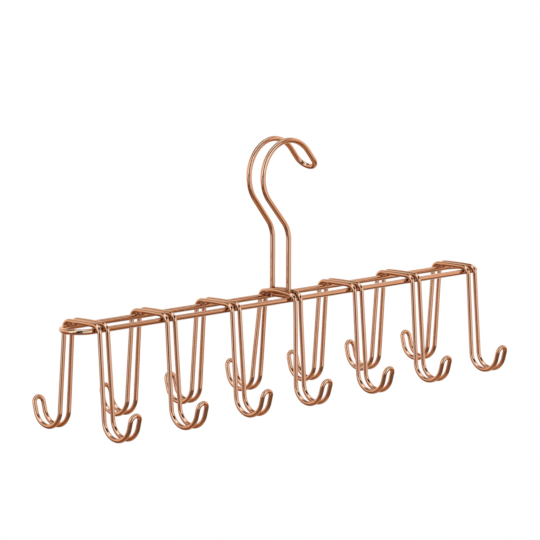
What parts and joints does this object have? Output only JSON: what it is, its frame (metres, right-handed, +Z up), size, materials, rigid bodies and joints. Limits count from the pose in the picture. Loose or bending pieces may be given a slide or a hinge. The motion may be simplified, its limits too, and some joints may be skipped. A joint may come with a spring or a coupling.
{
  "type": "belt hanger",
  "caption": "Welded wire belt hanger: a long loop of rail wire carries a row of double-ended J hooks and hangs from a closet rod by a rounded hook.",
  "frame": {"origin": "underside of the crown of the hanging hook, on the hanger's middle, where it rests on its rod", "axes": "+X along the rails, towards the side that the tip of the hanging hook points to; +Y across the rails, along the rod; +Z up"},
  "size_m": [0.3046, 0.0749, 0.1383],
  "materials": {
    "copper_plate": "bright copper plating over steel wire"
  },
  "bodies": {
    "root": {"rail_loop": "copper_plate", "hanging_hook": "copper_plate", "belt_hook_1": "copper_plate", "belt_hook_2": "copper_plate", "belt_hook_3": "copper_plate", "belt_hook_4": "copper_plate", "belt_hook_5": "copper_plate", "belt_hook_6": "copper_plate", "belt_hook_7": "copper_plate"}
  },
  "joints": []
}
